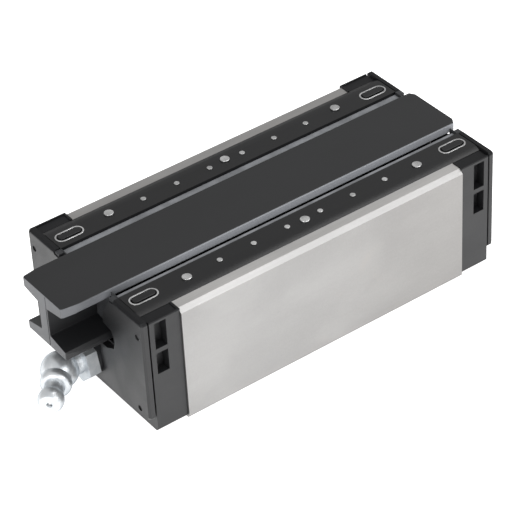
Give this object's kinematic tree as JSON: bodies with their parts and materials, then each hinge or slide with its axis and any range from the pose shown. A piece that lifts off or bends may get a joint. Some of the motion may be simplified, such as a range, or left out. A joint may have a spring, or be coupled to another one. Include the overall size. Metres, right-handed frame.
{
  "type": "linear guide carriage",
  "caption": "Long narrow recirculating-ball carriage for a profiled guide rail, with end caps, sealing strips, angled grease nipple and a plastic transport rail in its channel.",
  "frame": {"origin": "centre of the flat mounting face of the saddle", "axes": "+X along the guide rail, away from the end with the grease nipple; +Z from the mounting face towards the base of the rail; the grease nipple turns towards -Y"},
  "size_m": [0.1233, 0.048, 0.0334],
  "materials": {
    "ground_steel": "ground, satin",
    "ball_steel": "polished",
    "screw_steel": "dark, machined",
    "zinc_plated": "bright zinc plate",
    "bare_fixing": "cut bare metal",
    "seal_rubber": "matte",
    "rail_plastic": "moulded, satin",
    "guide_plastic": "moulded",
    "strip_plastic": "moulded, satin",
    "cap_plastic": "moulded, fine grain"
  },
  "bodies": {
    "carriage": {"ceiling_retainer": "guide_plastic", "check_spring": "screw_steel", "far_cap_screws": "screw_steel", "far_end_cap": "cap_plastic", "far_end_plate": "cap_plastic", "far_plate_pins": "cap_plastic", "far_return_guides": "guide_plastic", "far_wiper": "seal_rubber", "left_lower_balls": "ball_steel", "left_middle_balls": "ball_steel", "left_nose_retainer": "guide_plastic", "left_return_tubes": "guide_plastic", "left_seal_lip": "seal_rubber", "left_seal_strip": "strip_plastic", "left_side_retainer": "guide_plastic", "left_slot_plugs": "strip_plastic", "left_slot_rings": "bare_fixing", "left_strip_rivets": "bare_fixing", "left_strip_studs": "bare_fixing", "left_upper_balls": "ball_steel", "near_cap_screws": "screw_steel", "near_end_cap": "cap_plastic", "near_end_plate": "cap_plastic", "near_plate_pins": "cap_plastic", "near_return_guides": "guide_plastic", "near_wiper": "seal_rubber", "nipple": "zinc_plated", "nipple_seal_ring": "seal_rubber", "port_plug": "screw_steel", "right_lower_balls": "ball_steel", "right_middle_balls": "ball_steel", "right_nose_retainer": "guide_plastic", "right_return_tubes": "guide_plastic", "right_seal_lip": "seal_rubber", "right_seal_strip": "strip_plastic", "right_side_retainer": "guide_plastic", "right_slot_plugs": "strip_plastic", "right_slot_rings": "bare_fixing", "right_strip_rivets": "bare_fixing", "right_strip_studs": "bare_fixing", "right_upper_balls": "ball_steel", "saddle_body": "ground_steel"},
    "transport_rail": {"transport_rail": "rail_plastic"},
    "check_ball": {"check_ball": "ball_steel"}
  },
  "joints": [
    {"name": "rail_slide", "type": "slide", "parent": "carriage", "child": "transport_rail", "axis": [1, 0, 0], "range_m": [-0.107, 0.117]},
    {"name": "check_ball_slide", "type": "slide", "parent": "carriage", "child": "check_ball", "axis": [0.6947, 0.7193, 0], "range_m": [0, 0.0008], "stiffness_N_per_m": 60, "springref_m": -0.0005, "deforming": ["check_spring"]}
  ]
}
